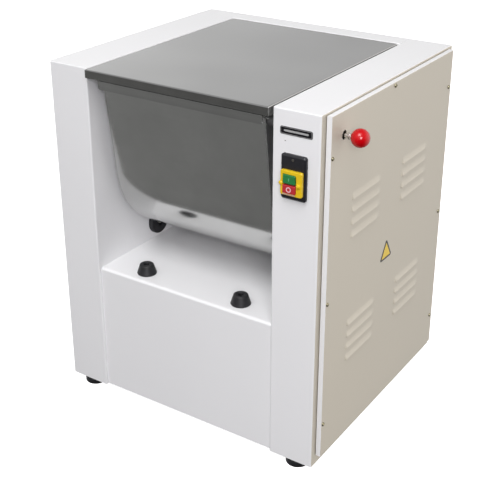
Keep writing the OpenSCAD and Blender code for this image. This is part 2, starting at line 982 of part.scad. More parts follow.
// How far a wall stands from the middle at height z, on an outline with the round radius r
function wall_reach(r, z) = (r + (z - axis_z) * sin(wall_lean)) / cos(wall_lean);

// The trough's outline: two walls that lean outwards, and the arc that joins them below
module trough_outline(r, z) {
    arc_steps = 36;
    reach = wall_reach(r, z);
    translate([axis_y, 0])
        polygon([
            [reach, z],
            [-reach, z],
            for (i = [0 : arc_steps])
                let (a = 180 + wall_lean + (180 - 2 * wall_lean) * i / arc_steps)
                    [r * cos(a), axis_z + r * sin(a)]
        ]);
}

module trough_shell() {
    color("#A6A7A8") in_cabinet() difference() {
        x_prism(-end_in, end_in) trough_outline(trough_r, wall_top);
        x_prism(-end_in - past, end_in + past)
            trough_outline(trough_r - trough_t, wall_top + 2 * past);
    }
}

module trough_end() {
    difference() {
        x_prism(end_in, trough_half_w) trough_outline(trough_r, wall_top);
        x_bar(end_in - past, trough_half_w + past, axis_y, axis_z, hub_bore_r);
    }
}

module left_trough_end() {
    color("#8F9091") in_cabinet() mirror([1, 0, 0]) trough_end();
}

module right_trough_end() {
    color("#8F9091") in_cabinet() trough_end();
}

// Folded rims along the front and rear walls
module trough_rim() {
    out = wall_reach(trough_r, wall_top) + rim_w - 6;
    color("#9C9D9E") in_cabinet() x_prism(-trough_half_w - 1, trough_half_w + 1)
        translate([axis_y, 0])
            for (side = [0, 1])
                mirror([side, 0]) difference() {
                    translate([out - rim_w, rim_top - rim_w]) square([rim_w, rim_w]);
                    translate([out - rim_w - past, rim_top - rim_w - past])
                        square([rim_w - trough_t + past, rim_w - trough_t + past]);
                }
}

module trough_hubs() {
    color("#75777A") in_cabinet() both_sides() difference() {
        union() {
            x_bar(trough_half_w, hub_flange_x, axis_y, axis_z, hub_flange_r);
            x_bar(hub_flange_x, hub_end_x, axis_y, axis_z, hub_tube_r);
        }
        x_bar(trough_half_w - past, hub_end_x + past, axis_y, axis_z, hub_bore_r);
        ring_of(6, hub_bolt_ring) x_bar(trough_half_w - past, hub_flange_x + past, 0, 0, bolt_clear_r);
    }
}

module hub_bolts() {
    color("#A9ABAE") in_cabinet() both_sides() ring_of(6, hub_bolt_ring)
        translate([hub_flange_x, 0, 0]) rotate([0, 90, 0]) hex_bolt(6.5, 5, bolt_r, 12);
}

module shaft_bushes() {
    color("#B08D57") in_cabinet() both_sides() difference() {
        x_bar(trough_half_w + 2, hub_end_x, axis_y, axis_z, bush_out_r);
        x_bar(trough_half_w, hub_end_x + past, axis_y, axis_z, shaft_r + running_gap);
    }
}

module shaft_seals() {
    color("#2A2A2E") in_cabinet() both_sides() difference() {
        x_bar(end_in - 7, end_in, axis_y, axis_z, 40);
        x_bar(end_in - 8, end_in + past, axis_y, axis_z, shaft_r + 0.4);
    }
}

// A boss on the right end plate that the lock pin slides into
module lock_keeper() {
    color("#75777A") in_cabinet() difference() {
        x_bar(trough_half_w, trough_half_w + keeper_h, lock_y, lock_z, keeper_r);
        x_bar(lock_tip_x - lock_travel - keeper_spare, trough_half_w + keeper_h + past,
            lock_y, lock_z, lock_r + 1);
    }
}

module stop_pins() {
    color("#75777A") in_cabinet() both_sides()
        x_bar(trough_half_w, tower_in - 6, stop_pin_y, stop_pin_z, stop_pin_r);
}

// Ears on the ends of the rear rim that carry the lid
module hinge_brackets() {
    rear_rim = axis_y + wall_reach(trough_r, wall_top) + rim_w - 6;
    low = rim_top - rim_w;
    color("#75777A") in_cabinet() both_sides() difference() {
        union() {
            x_prism(bracket_x[0], bracket_x[1])
                polygon([
                    [rear_rim - rim_w, low],
                    [rear_rim, low],
                    [hinge_y + 6, hinge_z - 6],
                    [hinge_y - 6, hinge_z + 6],
                    [rear_rim - rim_w + 10, rim_top],
                    [rear_rim - rim_w, rim_top]
                ]);
            x_bar(bracket_x[0], bracket_x[1], hinge_y, hinge_z, 9);
        }
        x_bar(bracket_x[0] - past, bracket_x[1] + past, hinge_y, hinge_z,
            hinge_pin_r + running_gap);
    }
}

// ---- lid ----

module lid_panel() {
    half = lid_w / 2;
    color("#B5B6B7") in_cabinet() difference() {
        block([-half, -lid_front, top_z - lid_edge], [half, lid_rear, top_z]);
        block([lid_t - half, lid_t - lid_front, top_z - lid_edge - past],
            [half - lid_t, lid_rear + past, top_z - lid_t]);
        x_bar(-half - past, half + past, hinge_y, hinge_z, hinge_pin_r + fixed_gap);
    }
}

// Rubber strips under the lid that rest on the trough's rims
module lid_gaskets() {
    reach = wall_reach(trough_r, wall_top) + 6;
    color("#17171A") in_cabinet()
        for (y = [axis_y - reach, axis_y + reach])
            block([-gasket_half, y - gasket_w / 2, rim_top],
                [gasket_half, y + gasket_w / 2, top_z - lid_t]);
}

module hinge_pins() {
    color("#B9BABD") in_cabinet() both_sides()
        x_bar(trough_half_w, lid_w / 2 + 2.5, hinge_y, hinge_z, hinge_pin_r);
}

// ---- agitator ----

module main_shaft() {
    color("#C2C3C5") in_cabinet() union() {
        x_bar(-hub_end_x - 14, chain_x[1] + 13, axis_y, axis_z, shaft_r);
        x_bar(-hub_end_x - 10, -hub_end_x - 2, axis_y, axis_z, shaft_r + 12);
    }
}

// The lowest arm hangs straight down at rest
module arm_turns() {
    for (i = [0 : arm_count - 1])
        translate([0, axis_y, axis_z]) rotate([360 * i / arm_count, 0, 0]) children();
}

module agitator_arms() {
    color("#B5B6B8") in_cabinet() both_sides() difference() {
        union() {
            x_bar(arm_x[0], arm_x[1], axis_y, axis_z, arm_hub_r);
            arm_turns() block([arm_x[0], -arm_w / 2, -bar_reach], [arm_x[1], arm_w / 2, 0]);
            arm_turns() x_bar(arm_x[0], arm_x[1], 0, -bar_reach, arm_tip_r);
        }
        x_bar(arm_x[0] - past, arm_x[1] + past, axis_y, axis_z, shaft_r + fixed_gap);
        arm_turns() x_bar(arm_x[0] - past, arm_x[1] + past, 0, -bar_reach, bar_dia / 2 + fixed_gap);
    }
}

module mixing_bars() {
    color("#C2C3C5") in_cabinet()
        arm_turns() x_bar(-arm_x[1], arm_x[1], 0, -bar_reach, bar_dia / 2);
}

// ---- drawing ----

left_tower();
right_tower();
base_cover();
cross_rails();
side_rails();
motor_rails();
rear_bridge();
rear_panel();
rear_panel_screws();
left_side_cover();
right_side_cover();
side_cover_screws();
feet();
foot_bolts();
bumpers();
bumper_screws();
tilt_stops();
tilt_stop_screws();
nameplate();
warning_triangle();
switch_box();
switch_frame();
switch_screw();
start_button();
stop_button();
lock_guide();
lock_pin();
knob_ball();
left_bearing();
right_bearing();
bearing_bolts();
motor_housing();
motor_fan_cowl();
motor_terminal_box();
gearbox_housing();
motor_bolts();
drive_shaft();
drive_sprocket();
drive_chain();
contactor_box();
wiring_loom();
cable_bush();
trough_shell();
trough_rim();
left_trough_end();
right_trough_end();
trough_hubs();
hub_bolts();
shaft_bushes();
shaft_seals();
lock_keeper();
stop_pins();
hinge_brackets();
lid_panel();
lid_gaskets();
hinge_pins();
main_shaft();
agitator_arms();
mixing_bars();
driven_sprocket();
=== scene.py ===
import json
import math
import random

import bmesh
import bpy
import numpy as np
from mathutils import Matrix, Vector

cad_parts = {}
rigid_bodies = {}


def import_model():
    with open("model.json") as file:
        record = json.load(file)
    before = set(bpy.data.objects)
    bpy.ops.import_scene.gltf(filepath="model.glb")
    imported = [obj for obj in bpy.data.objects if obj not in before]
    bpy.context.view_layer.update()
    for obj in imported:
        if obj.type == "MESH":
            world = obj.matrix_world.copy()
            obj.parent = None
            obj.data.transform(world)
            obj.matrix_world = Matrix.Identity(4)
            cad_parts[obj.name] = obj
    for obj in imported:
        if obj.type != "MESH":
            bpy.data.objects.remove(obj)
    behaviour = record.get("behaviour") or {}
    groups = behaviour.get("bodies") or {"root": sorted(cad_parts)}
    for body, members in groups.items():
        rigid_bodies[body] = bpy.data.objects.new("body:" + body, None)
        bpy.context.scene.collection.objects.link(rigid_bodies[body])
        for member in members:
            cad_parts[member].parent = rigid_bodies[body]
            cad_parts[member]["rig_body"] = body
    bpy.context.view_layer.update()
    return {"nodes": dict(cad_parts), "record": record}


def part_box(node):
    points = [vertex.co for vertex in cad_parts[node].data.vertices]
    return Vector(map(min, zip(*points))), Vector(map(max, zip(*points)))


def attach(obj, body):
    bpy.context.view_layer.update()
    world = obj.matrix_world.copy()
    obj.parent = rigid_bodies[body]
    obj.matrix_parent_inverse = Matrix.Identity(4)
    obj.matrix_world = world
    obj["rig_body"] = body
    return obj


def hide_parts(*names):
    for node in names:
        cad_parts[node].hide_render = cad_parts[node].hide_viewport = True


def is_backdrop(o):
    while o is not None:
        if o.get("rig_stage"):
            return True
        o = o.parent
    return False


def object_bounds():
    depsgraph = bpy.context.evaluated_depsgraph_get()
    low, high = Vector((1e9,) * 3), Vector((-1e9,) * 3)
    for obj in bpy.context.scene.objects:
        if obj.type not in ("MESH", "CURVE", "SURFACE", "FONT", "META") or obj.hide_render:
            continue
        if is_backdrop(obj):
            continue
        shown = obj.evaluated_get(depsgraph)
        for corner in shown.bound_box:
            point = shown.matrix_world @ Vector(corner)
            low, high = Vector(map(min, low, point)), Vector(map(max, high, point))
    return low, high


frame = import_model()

NODES = frame["nodes"]
SLOT_OF = {s["node"]: s["material_slot"] for s in frame["record"]["subparts"]}

# Pieces are drawn in millimetres from the cabinet's middle, at floor height
FRONT_REACH = 323
ORIGIN = np.array([
    (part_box("left_tower")[0].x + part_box("right_tower")[1].x) / 2,
    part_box("right_tower")[0].y + FRONT_REACH / 1000,
    0,
])


def box_mm(node):
    low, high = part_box(node)
    return (np.array(low) - ORIGIN) * 1000, (np.array(high) - ORIGIN) * 1000


# ---------------------------------------------------------------- materials

def node_kit(material):
    tree = material.node_tree
    tree.nodes.clear()

    def add(kind, inputs=None, **settings):
        n = tree.nodes.new(kind)
        for key, value in settings.items():
            setattr(n, key, value)
        for key, value in (inputs or {}).items():
            socket = n.inputs[key]
            if isinstance(value, bpy.types.NodeSocket):
                tree.links.new(value, socket)
            else:
                socket.default_value = value
        return n
    return tree, add


def rgba(colour, factor=1.0):
    return tuple(min(1.0, c * factor) for c in colour) + (1.0,)


def surface(name, colour, rough, metal=0.0, tint=0.03, tint_scale=6.0, tint_detail=5.0,
            rough_var=0.05, grain=(1, 1, 1), grain_scale=600.0, streak=0.06,
            bump=0.05, bump_mm=0.05, wave_mm=0.0, wave_scale=3.0, coat=0.0, coat_rough=0.1):
    """A procedural finish: cloudy colour, grain in the roughness and bump, and a slow waviness."""
    m = bpy.data.materials.new(name)
    m.use_nodes = True
    tree, add = node_kit(m)
    co = add("ShaderNodeTexCoord").outputs["Object"]
    cloud = add("ShaderNodeTexNoise", {"Vector": co, "Scale": tint_scale,
                                       "Detail": tint_detail, "Roughness": 0.6})
    stretched = add("ShaderNodeMapping", {"Vector": co, "Scale": grain})
    fine = add("ShaderNodeTexNoise", {"Vector": stretched.outputs[0], "Scale": grain_scale,
                                      "Detail": 3.0, "Roughness": 0.55})
    ramp = add("ShaderNodeMapRange", {"Value": cloud.outputs["Fac"], "From Min": 0.3,
                                      "From Max": 0.7, "To Min": 0.0, "To Max": 1.0})
    mixed = add("ShaderNodeMix", {"Factor": ramp.outputs[0]}, data_type="RGBA")
    mixed.inputs[6].default_value = rgba(colour, 1 - tint)
    mixed.inputs[7].default_value = rgba(colour, 1 + tint)
    colour_out = mixed.outputs[2]
    if metal > 0.5:
        lines = add("ShaderNodeMapRange", {"Value": fine.outputs["Fac"], "From Min": 0.3,
                                           "From Max": 0.7, "To Min": 1 - streak,
                                           "To Max": 1 + streak})
        colour_out = add("ShaderNodeVectorMath", {0: colour_out, "Scale": lines.outputs[0]},
                         operation="SCALE").outputs[0]
    rough_mix = add("ShaderNodeMath", {0: fine.outputs["Fac"], 1: cloud.outputs["Fac"]},
                    operation="ADD")
    rough_out = add("ShaderNodeMapRange", {
        "Value": rough_mix.outputs[0], "From Min": 0.6, "From Max": 1.4,
        "To Min": max(0.02, rough - rough_var), "To Max": min(1.0, rough + rough_var)})
    normal = add("ShaderNodeBump", {"Height": fine.outputs["Fac"], "Strength": bump,
                                    "Distance": bump_mm / 1000}).outputs[0]
    if wave_mm:
        wave = add("ShaderNodeTexNoise", {"Vector": co, "Scale": wave_scale, "Detail": 1.0,
                                          "Roughness": 0.4})
        normal = add("ShaderNodeBump", {"Height": wave.outputs["Fac"], "Strength": 1.0,
                                        "Distance": wave_mm / 1000, "Normal": normal}).outputs[0]
    shader = add("ShaderNodeBsdfPrincipled", {
        "Base Color": colour_out, "Roughness": rough_out.outputs[0], "Metallic": metal,
        "Normal": normal, "Coat Weight": coat, "Coat Roughness": coat_rough})
    add("ShaderNodeOutputMaterial", {"Surface": shader.outputs[0]})
    return m


MATERIALS = {
    "white_paint": surface("white_paint", (0.86, 0.86, 0.87), 0.36, tint=0.012, tint_scale=2.5,
                           grain_scale=900, bump=0.10, bump_mm=0.06, wave_mm=0.25,
                           wave_scale=5.0),
    # The cover paint is a darker, warmer copy of the white paint. It goes on the sheet's faces
    # that point out to the sides, as painted shade of the sides that face away from the light.
    "cover_paint": surface("cover_paint", (0.61, 0.56, 0.468), 0.42, tint=0.015,
                           tint_scale=2.5, grain_scale=900, bump=0.12, bump_mm=0.06,
                           wave_mm=0.25, wave_scale=5.0),
    "stainless": surface("stainless", (0.60, 0.60, 0.595), 0.23, metal=1.0, tint=0.05,
                         tint_scale=7.0, rough_var=0.06, grain=(0.012, 1, 1),
                         grain_scale=900, bump=0.06, bump_mm=0.04, wave_mm=0.35,
                         wave_scale=3.5),
    "lid_steel": surface("lid_steel", (0.52, 0.52, 0.516), 0.21, metal=1.0, tint=0.10,
                         tint_scale=3.1, tint_detail=1.0, rough_var=0.05,
                         grain=(0.012, 1, 1), grain_scale=900, streak=0.035, bump=0.06,
                         bump_mm=0.04, wave_mm=0.5, wave_scale=3.0),
    "trough_steel": surface("trough_steel", (0.60, 0.605, 0.595), 0.15, metal=1.0, tint=0.07,
                            tint_scale=6.0, rough_var=0.03, grain=(0.02, 1, 1),
                            grain_scale=700, streak=0.015, bump=0.03, bump_mm=0.03,
                            wave_mm=0.3, wave_scale=3.0),
    # A darker copy of the lid's steel, put on the lid's upright flange faces as painted shade.
    "painted_shade_steel": surface("painted_shade_steel", (0.36, 0.36, 0.35), 0.22, metal=1.0, tint=0.05,
                            tint_scale=25, grain=(0.02, 1, 1), grain_scale=900, streak=0.04,
                            bump=0.06, bump_mm=0.04),
    "dull_zinc": surface("dull_zinc", (0.22, 0.21, 0.19), 0.45, metal=1.0, tint=0.15,
                         tint_scale=220, grain_scale=1800, bump=0.08),
    "yellow_zinc": surface("yellow_zinc", (0.36, 0.33, 0.23), 0.24, metal=1.0, tint=0.15,
                           tint_scale=220, grain_scale=1800, bump=0.06),
    "turned_steel": surface("turned_steel", (0.55, 0.55, 0.56), 0.28, metal=1.0,
                            grain=(1, 0.08, 0.08), grain_scale=1500, bump=0.08,
                            rough_var=0.08),
    "zinc": surface("zinc", (0.62, 0.60, 0.54), 0.28, metal=1.0, tint=0.12, tint_scale=220,
                    grain_scale=1800, bump=0.08, rough_var=0.1),
    "cast_iron": surface("cast_iron", (0.16, 0.165, 0.175), 0.62, tint=0.15, tint_scale=30,
                         grain_scale=450, bump=0.5, bump_mm=0.3),
    "chrome": surface("chrome", (0.80, 0.80, 0.80), 0.11, metal=1.0, tint=0.03,
                      grain=(1, 0.1, 0.1), grain_scale=1200, bump=0.03, rough_var=0.04),
    "frame_paint": surface("frame_paint", (0.045, 0.047, 0.052), 0.45, tint=0.12,
                           tint_scale=14, grain_scale=700, bump=0.2, bump_mm=0.08),
    "motor_paint": surface("motor_paint", (0.065, 0.13, 0.22), 0.42, tint=0.10,
                           tint_scale=16, grain_scale=600, bump=0.25, bump_mm=0.1),
    "black_rubber": surface("black_rubber", (0.012, 0.012, 0.014), 0.48, tint=0.2,
                            tint_scale=60, grain_scale=1400, bump=0.25, bump_mm=0.08,
                            rough_var=0.1),
    "black_plastic": surface("black_plastic", (0.014, 0.014, 0.018), 0.34, tint=0.12,
                             tint_scale=50, grain_scale=1600, bump=0.2, bump_mm=0.05,
                             rough_var=0.06),
    "yellow_plastic": surface("yellow_plastic", (0.80, 0.54, 0.01), 0.30, tint=0.05,
                              tint_scale=60, grain_scale=1500, bump=0.08, coat=0.2),
    "green_plastic": surface("green_plastic", (0.022, 0.20, 0.055), 0.30, tint=0.08,
                             tint_scale=80, grain_scale=1500, bump=0.08),
    "red_plastic": surface("red_plastic", (0.50, 0.028, 0.035), 0.32, tint=0.08,
                           tint_scale=80, grain_scale=1500, bump=0.08),
    "red_ball": surface("red_ball", (0.55, 0.0005, 0.004), 0.16, tint=0.04, tint_scale=40,
                        grain_scale=900, bump=0.03, coat=0.1, coat_rough=0.05),
    "nameplate": surface("nameplate", (0.006, 0.006, 0.008), 0.25, tint=0.15, tint_scale=90,
                         grain=(0.05, 1, 1), grain_scale=1500, bump=0.06),
    "sticker": surface("sticker", (0.88, 0.60, 0.004), 0.32, tint=0.04, tint_scale=70,
                       grain_scale=1500, bump=0.05),
    "grey_plastic": surface("grey_plastic", (0.60, 0.60, 0.58), 0.45, tint=0.03,
                            tint_scale=30, grain_scale=900, bump=0.15),
    "bronze": surface("bronze", (0.55, 0.36, 0.16), 0.34, metal=1.0, tint=0.08,
                      tint_scale=60, grain=(1, 0.1, 0.1), grain_scale=1200, bump=0.08),
    "print_pink": surface("print_pink", (0.82, 0.50, 0.54), 0.4, tint=0.03,
                          grain_scale=1500),
    "print_grey": surface("print_grey", (0.62, 0.40, 0.30), 0.4, tint=0.05,
                          grain_scale=1500),
    "print_white": surface("print_white", (0.40, 0.40, 0.40), 0.4, tint=0.03,
                           grain_scale=1500),
    "print_black": surface("print_black", (0.012, 0.012, 0.014), 0.35, tint=0.1,
                           grain_scale=1500),
    "print_green": surface("print_green", (0.16, 0.46, 0.27), 0.35, tint=0.05,
                           grain_scale=1500),
}


# ---------------------------------------------------------------- mesh helpers

def arc(cu, cv, r, a0, a1, steps):
    return [(cu + r * math.cos(math.radians(a0 + (a1 - a0) * i / steps)),
             cv + r * math.sin(math.radians(a0 + (a1 - a0) * i / steps)))
            for i in range(steps + 1)]


def round_rect(u0, v0, u1, v1, radii, steps=5):
    """Anticlockwise outline. The radii are at the low corner, then round anticlockwise."""
    if not isinstance(radii, (list, tuple)):
        radii = [radii] * 4
    out = []
    for (u, v, su, sv, a), r in zip(
            [(u0, v0, 1, 1, 180), (u1, v0, -1, 1, 270), (u1, v1, -1, -1, 0),
             (u0, v1, 1, -1, 90)], radii):
        out += arc(u + su * r, v + sv * r, r, a, a + 90, steps) if r else [(u, v)]
    return out


def inset(loop, d):
    p = np.array(loop, float)
    e = np.roll(p, -1, 0) - p
    e /= np.linalg.norm(e, axis=1)[:, None]
    n = np.stack([-e[:, 1], e[:, 0]], 1)
    m = np.roll(n, 1, 0)
    return p + (n + m) / (1 + (n * m).sum(1))[:, None] * d


def placed(kind, uv, t):
    """Outline points at t along the axis. The outline's (u, v) is (Y, Z) for x, (X, Y) for z and
    (X, Z) for y, where t runs towards the front."""
    uv = np.array(uv, float)
    t = np.full(len(uv), float(t))
    if kind == "x":
        return np.stack([t, uv[:, 0], uv[:, 1]], 1)
    if kind == "z":
        return np.stack([uv[:, 0], uv[:, 1], t], 1)
    return np.stack([uv[:, 0], -t, uv[:, 1]], 1)


def loft(rings, cap_start=True, cap_end=True, closed=False):
    n = len(rings[0])
    verts = np.concatenate(rings)
    faces = []
    count = len(rings)
    for i in range(count if closed else count - 1):
        a, b = i * n, (i + 1) % count * n
        faces += [(a + j, a + (j + 1) % n, b + (j + 1) % n, b + j) for j in range(n)]
    if cap_start and not closed:
        faces.append(tuple(range(n - 1, -1, -1)))
    if cap_end and not closed:
        faces.append(tuple(range((count - 1) * n, count * n)))
    return verts, faces


def prism(kind, loop, t0, t1, r0=0.0, r1=0.0, steps=3, caps=(True, True)):
    """An extruded outline whose end edges are rounded by r0 and r1."""
    rings = []
    if r0:
        for i in range(steps + 1):
            a = math.pi / 2 * i / steps
            rings.append(placed(kind, inset(loop, r0 * (1 - math.sin(a))),
                                t0 + r0 * (1 - math.cos(a))))
    else:
        rings.append(placed(kind, loop, t0))
    if r1:
        for i in range(steps + 1):
            a = math.pi / 2 * i / steps
            rings.append(placed(kind, inset(loop, r1 * (1 - math.cos(a))),
                                t1 - r1 * (1 - math.sin(a))))
    else:
        rings.append(placed(kind, loop, t1))
    return loft(rings, *caps)


def turned(kind, centre, profile, n=48, closed=False):
    """A turned shape. The profile is (radius, t) pairs, and t runs along the axis."""
    circle = [(math.cos(2 * math.pi * i / n), math.sin(2 * math.pi * i / n)) for i in range(n)]
    rings = [placed(kind, np.array(circle) * max(r, 1e-4) + np.array(centre), t)
             for r, t in profile]
    return loft(rings, closed=closed, cap_start=not closed, cap_end=not closed)


def sheet(kind, path, t0, t1, cuts=1):
    """An open strip: a path extruded from t0 to t1."""
    rows = [placed(kind, path, t0 + (t1 - t0) * i / cuts) for i in range(cuts + 1)]
    n = len(path)
    faces = [(i * n + j, i * n + j + 1, (i + 1) * n + j + 1, (i + 1) * n + j)
             for i in range(cuts) for j in range(n - 1)]
    return np.concatenate(rows), faces


def joined(*parts):
    verts, faces, base = [], [], 0
    for v, f in parts:
        verts.append(np.array(v, float))
        faces += [tuple(i + base for i in face) for face in f]
        base += len(v)
    return np.concatenate(verts), faces


def moved(part, offset=(0, 0, 0), matrix=None):
    v, f = part
    v = np.array(v, float)
    if matrix is not None:
        v = v @ np.array(matrix.to_3x3()).T
    return v + np.array(offset, float), f


def mirrored(part):
    v, f = part
    return np.array(v, float) * (-1, 1, 1), [face[::-1] for face in f]


def both(part):
    return joined(part, mirrored(part))


def block(low, high, r=0.0):
    return prism("z", round_rect(low[0], low[1], high[0], high[1], r), low[2], high[2])


def rod(kind, centre, t0, t1, r, n=48):
    return turned(kind, centre, [(r, t0), (r, t1)], n)


def mesh_from(name, part, fix_normals=True):
    verts, faces = part
    verts = np.array(verts, float) / 1000 + ORIGIN
    mesh = bpy.data.meshes.new(name)
    mesh.from_pydata([tuple(v) for v in verts], [], faces)
    bm = bmesh.new()
    bm.from_mesh(mesh)
    bmesh.ops.remove_doubles(bm, verts=bm.verts, dist=1e-6)
    bmesh.ops.dissolve_degenerate(bm, edges=bm.edges, dist=1e-7)
    if fix_normals:
        bmesh.ops.recalc_face_normals(bm, faces=bm.faces)
    bm.to_mesh(mesh)
    bm.free()
    return mesh


def baked(obj):
    """Applies obj's modifiers to its mesh."""
    graph = bpy.context.evaluated_depsgraph_get()
    graph.update()
    mesh = bpy.data.meshes.new_from_object(obj.evaluated_get(graph))
    obj.modifiers.clear()
    obj.data = mesh


def carve(obj, cuts=(), adds=()):
    tools = []
    for operation, parts in (("UNION", adds), ("DIFFERENCE", cuts)):
        for i, part in enumerate(parts):
            tool = bpy.data.objects.new(f"tool_{operation}_{i}", mesh_from("tool", part))
            bpy.context.scene.collection.objects.link(tool)
            tools.append(tool)
            m = obj.modifiers.new("cut", "BOOLEAN")
            m.operation, m.solver, m.object = operation, "EXACT", tool
    baked(obj)
    for tool in tools:
        bpy.data.objects.remove(tool)


def finish_shading(obj, angle=40):
    obj.data.polygons.foreach_set("use_smooth", [True] * len(obj.data.polygons))
    obj.data.set_sharp_from_angle(angle=math.radians(angle))
    weighted = obj.modifiers.new("normals", "WEIGHTED_NORMAL")
    weighted.keep_sharp = True


def piece(name, part, nodes, thick=0.0, cuts=(), adds=(), bevel=0.0, angle=40, inks=None,
          slot=None, body=None, finish=None, fix_normals=True):
    """Makes a piece that stands for CAD nodes, hides them, and gives it their body and the
    material of their slot, or of its finish.
    """
    nodes = [nodes] if isinstance(nodes, str) else list(nodes)
    slot = slot or SLOT_OF[nodes[0]]
    body = body or NODES[nodes[0]]["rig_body"]
    obj = bpy.data.objects.new(name, mesh_from(name, part, fix_normals))
    bpy.context.scene.collection.objects.link(obj)
    if thick:
        m = obj.modifiers.new("thickness", "SOLIDIFY")
        m.thickness, m.offset, m.use_even_offset = thick / 1000, -1, True
        baked(obj)
    if cuts or adds:
        carve(obj, cuts, adds)
    if bevel:
        m = obj.modifiers.new("edges", "BEVEL")
        m.width, m.segments, m.limit_method = bevel / 1000, 2, "ANGLE"
        m.angle_limit = math.radians(40)
    obj.data.materials.clear()
    obj.data.materials.append(MATERIALS[finish or slot])
    for ink in (inks or {}):
        obj.data.materials.append(MATERIALS[ink])
    finish_shading(obj, angle)
    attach(obj, body)
    if nodes:
        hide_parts(*nodes)
    return obj


def soften(node, width, angle=30):
    """Rounds a carried-over node's edges with modifiers, and leaves its mesh as it is."""
    obj = NODES[node]
    m = obj.modifiers.new("weld", "WELD")
    m.merge_threshold = 1e-5
    m = obj.modifiers.new("flat", "DECIMATE")
    m.decimate_type, m.angle_limit = "DISSOLVE", math.radians(0.5)
    m = obj.modifiers.new("edges", "BEVEL")
    m.width, m.segments, m.limit_method = width / 1000, 2, "ANGLE"
    m.angle_limit = math.radians(angle)
    m = obj.modifiers.new("normals", "WEIGHTED_NORMAL")
    m.keep_sharp = True


# ---------------------------------------------------------------- cabinet

# The trough's tilt axis, the tilt lock's axis, and the sheet's thickness
AXIS_Y, AXIS_Z = -55, 634
LOCK_Y, LOCK_Z = -251, 812
SHEET = 2
# A cutter reaches this far to each side of the sheet's outer face
CUT_REACH = 5
TRUNNION_HOLE_R = 44
LOCK_HOLE_R = 12.05
OUTPUT_Y, OUTPUT_Z, OUTPUT_HOLE_R = 130, 140, 30
LOOM_Y, LOOM_Z, LOOM_HOLE_R = -270, 300, 10


def tower(side):
    low, high = box_mm("right_tower")
    plan = round_rect(low[0], low[1], high[0], high[1], [3.5, 5, 3.5, 3.5], 6)
    skin = prism("z", plan, low[2], high[2], r1=3.0, steps=4, caps=(False, True))
    inner = (low[0] - CUT_REACH, low[0] + CUT_REACH)
    outer = (high[0] - CUT_REACH, high[0] + CUT_REACH)
    # The opening behind the side cover, the trunnion's hole and the rails' low opening
    cuts = [
        block([outer[0], -285, 60], [outer[1], 270, 840]),
        rod("x", (AXIS_Y, AXIS_Z), *inner, TRUNNION_HOLE_R),
        block([inner[0], -311, 10], [inner[1], 326, 52]),
    ]
    if side > 0:
        # The lock, the gearbox's output shaft and the wiring loom pass through the inner wall. The
        # front has the switch's window and a small round hole.
        cuts += [
            rod("x", (LOCK_Y, LOCK_Z), *inner, LOCK_HOLE_R),
            rod("x", (OUTPUT_Y, OUTPUT_Z), *inner, OUTPUT_HOLE_R),
            rod("x", (LOOM_Y, LOOM_Z), *inner, LOOM_HOLE_R),
            block([279, -330, 689], [330, -316, 766]),
            rod("y", (280, 802), 316, 330, 1.5, 12),
        ]
        return skin, cuts
    return mirrored(skin), [mirrored(c) for c in cuts]


for side, name in ((1, "right_tower"), (-1, "left_tower")):
    skin, cuts = tower(side)
    obj = piece(name + "_skin", skin, name, thick=SHEET, cuts=cuts, inks=["cover_paint"])
    # Faces that point straight out to the side take the cover paint, which is painted shade on the
    # white sheet.
    for p in obj.data.polygons:
        if p.normal.x * side > 0.8:
            p.material_index = 1


def base_skin():
    low, high = box_mm("base_cover")
    r = 7
    path = [(low[1], low[2])]
    path += arc(low[1] + r, high[2] - r, r, 180, 90, 6)
    path += [(high[1], high[2])]
    return sheet("x", path[::-1], low[0], high[0])


piece("base_cover_skin", base_skin(), "base_cover", thick=SHEET)


def bridge_skin():
    low, high = box_mm("rear_bridge")
    r = 3
    path = [(low[1], low[2])] + arc(low[1] + r, high[2] - r, r, 180, 90, 4)
    path += arc(high[1] - r, high[2] - r, r, 90, 0, 4) + [(high[1], low[2])]
    return sheet("x", path[::-1], low[0], high[0])


piece("rear_bridge_skin", bridge_skin(), "rear_bridge", thick=SHEET)

low, high = box_mm("rear_panel")
gland_low, gland_high = box_mm("cable_bush")
gland = ((gland_low[0] + gland_high[0]) / 2, (gland_low[2] + gland_high[2]) / 2)
piece("rear_panel_skin",
      prism("y", round_rect(low[0], low[2], high[0], high[2], 5), -high[1], -low[1], r0=0.8),
      "rear_panel", cuts=[rod("y", gland, -high[1] - 3, -low[1] + 3, 12)])


# ---------------------------------------------------------------- side covers

# A louvre's mesh lines: U across from its middle, V up from its slit
LOUVRE_HALF, LOUVRE_RISE, LOUVRE_DEPTH = 71, 18, 3.8
LOUVRE_U = [-LOUVRE_HALF, -70, -68.5, -67, -65, -60, -45, -30, -15, 0, 15, 30, 42, 47, 51, 55,
            59, 63, 67, LOUVRE_HALF]
LOUVRE_V = [0, 1, 2, 3, 4, 5.5, 8, 11, 14, 16, LOUVRE_RISE]
LOUVRE_Y = [-135, 113]
LOUVRE_Z = [bank + 30 * row for bank in (251, 561.5) for row in range(4)]
FOLD = 1.8
COVER_X = 377


def smooth(t):
    t = min(1.0, max(0.0, t))
    return t * t * (3 - 2 * t)


def louvre_height(u, v):
    """How far the pressing stands out. Its left end is steep and its right end fades out."""
    end = smooth((u + LOUVRE_HALF) / 5) * smooth((LOUVRE_HALF - u) / 24)
    slope = min(1.0, max(0.0, (LOUVRE_RISE - v) / 15))
    return LOUVRE_DEPTH * end * slope ** 1.7


